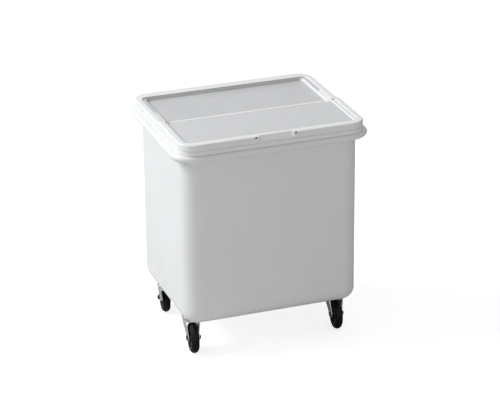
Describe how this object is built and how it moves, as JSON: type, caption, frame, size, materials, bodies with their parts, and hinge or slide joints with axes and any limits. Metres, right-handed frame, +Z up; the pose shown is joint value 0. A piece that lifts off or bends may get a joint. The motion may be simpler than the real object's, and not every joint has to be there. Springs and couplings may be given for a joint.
{
  "type": "rolling ingredient bin",
  "caption": "Rounded plastic ingredient bin with a rolled rim, a split lid whose front flap hinges back, and small swivel casters for rolling flour or sugar under a bench.",
  "frame": {"origin": "on the floor under the middle of the bin's flange", "axes": "+X to the bin's right, +Y to its back, +Z up; the flap opens at the front, -Y"},
  "size_m": [0.48, 0.392, 0.5527],
  "materials": {
    "tub_plastic": "smooth moulded polyethylene",
    "lid_plastic": "satin moulded polyethylene",
    "zinc_steel": "zinc plated pressed steel",
    "dark_steel": "black oxide",
    "bearing_steel": "ground bright steel",
    "insert_brass": "turned brass",
    "wheel_plastic": "moulded black polypropylene",
    "tyre_rubber": "smooth black rubber"
  },
  "bodies": {
    "bin": {"bin_tub": "tub_plastic", "front_left_insert": "insert_brass", "front_left_stem": "zinc_steel", "front_left_race": "zinc_steel", "front_right_insert": "insert_brass", "front_right_stem": "zinc_steel", "front_right_race": "zinc_steel", "rear_left_insert": "insert_brass", "rear_left_stem": "zinc_steel", "rear_left_race": "zinc_steel", "rear_right_insert": "insert_brass", "rear_right_stem": "zinc_steel", "rear_right_race": "zinc_steel"},
    "rear_cover": {"rear_cover": "lid_plastic", "hinge_pin_left": "bearing_steel", "hinge_pin_right": "bearing_steel"},
    "front_flap": {"front_flap": "lid_plastic"},
    "front_left_swivel": {"front_left_balls": "bearing_steel", "front_left_fork": "zinc_steel", "front_left_axle_sleeve": "bearing_steel", "front_left_axle_bolt": "dark_steel", "front_left_axle_nut": "dark_steel"},
    "front_left_wheel": {"front_left_wheel_core": "wheel_plastic", "front_left_tyre": "tyre_rubber"},
    "front_right_swivel": {"front_right_balls": "bearing_steel", "front_right_fork": "zinc_steel", "front_right_axle_sleeve": "bearing_steel", "front_right_axle_bolt": "dark_steel", "front_right_axle_nut": "dark_steel"},
    "front_right_wheel": {"front_right_wheel_core": "wheel_plastic", "front_right_tyre": "tyre_rubber"},
    "rear_left_swivel": {"rear_left_balls": "bearing_steel", "rear_left_fork": "zinc_steel", "rear_left_axle_sleeve": "bearing_steel", "rear_left_axle_bolt": "dark_steel", "rear_left_axle_nut": "dark_steel"},
    "rear_left_wheel": {"rear_left_wheel_core": "wheel_plastic", "rear_left_tyre": "tyre_rubber"},
    "rear_right_swivel": {"rear_right_balls": "bearing_steel", "rear_right_fork": "zinc_steel", "rear_right_axle_sleeve": "bearing_steel", "rear_right_axle_bolt": "dark_steel", "rear_right_axle_nut": "dark_steel"},
    "rear_right_wheel": {"rear_right_wheel_core": "wheel_plastic", "rear_right_tyre": "tyre_rubber"}
  },
  "joints": [
    {"name": "lid_lift", "type": "slide", "parent": "bin", "child": "rear_cover", "axis": [0, 0, 1], "range_m": [0, 0.12]},
    {"name": "flap_hinge", "type": "hinge", "parent": "rear_cover", "child": "front_flap", "pos_m": [0, -0.019, 0.5502], "axis": [-1, 0, 0], "range_deg": [0, 178]},
    {"name": "front_left_swivel_turn", "type": "hinge", "parent": "bin", "child": "front_left_swivel", "pos_m": [-0.182, -0.095, 0.085], "axis": [0, 0, 1], "continuous": true},
    {"name": "front_left_wheel_spin", "type": "hinge", "parent": "front_left_swivel", "child": "front_left_wheel", "pos_m": [-0.18548, -0.11976, 0.0375], "axis": [0.9903, -0.1392, 0], "continuous": true},
    {"name": "front_right_swivel_turn", "type": "hinge", "parent": "bin", "child": "front_right_swivel", "pos_m": [0.182, -0.095, 0.085], "axis": [0, 0, 1], "continuous": true},
    {"name": "front_right_wheel_spin", "type": "hinge", "parent": "front_right_swivel", "child": "front_right_wheel", "pos_m": [0.17852, -0.11976, 0.0375], "axis": [0.9903, -0.1392, 0], "continuous": true},
    {"name": "rear_left_swivel_turn", "type": "hinge", "parent": "bin", "child": "rear_left_swivel", "pos_m": [-0.182, 0.095, 0.085], "axis": [0, 0, 1], "continuous": true},
    {"name": "rear_left_wheel_spin", "type": "hinge", "parent": "rear_left_swivel", "child": "rear_left_wheel", "pos_m": [-0.17809, 0.11969, 0.0375], "axis": [-0.9877, 0.1564, 0], "continuous": true},
    {"name": "rear_right_swivel_turn", "type": "hinge", "parent": "bin", "child": "rear_right_swivel", "pos_m": [0.182, 0.095, 0.085], "axis": [0, 0, 1], "continuous": true},
    {"name": "rear_right_wheel_spin", "type": "hinge", "parent": "rear_right_swivel", "child": "rear_right_wheel", "pos_m": [0.19055, 0.11849, 0.0375], "axis": [-0.9397, 0.342, 0], "continuous": true}
  ]
}
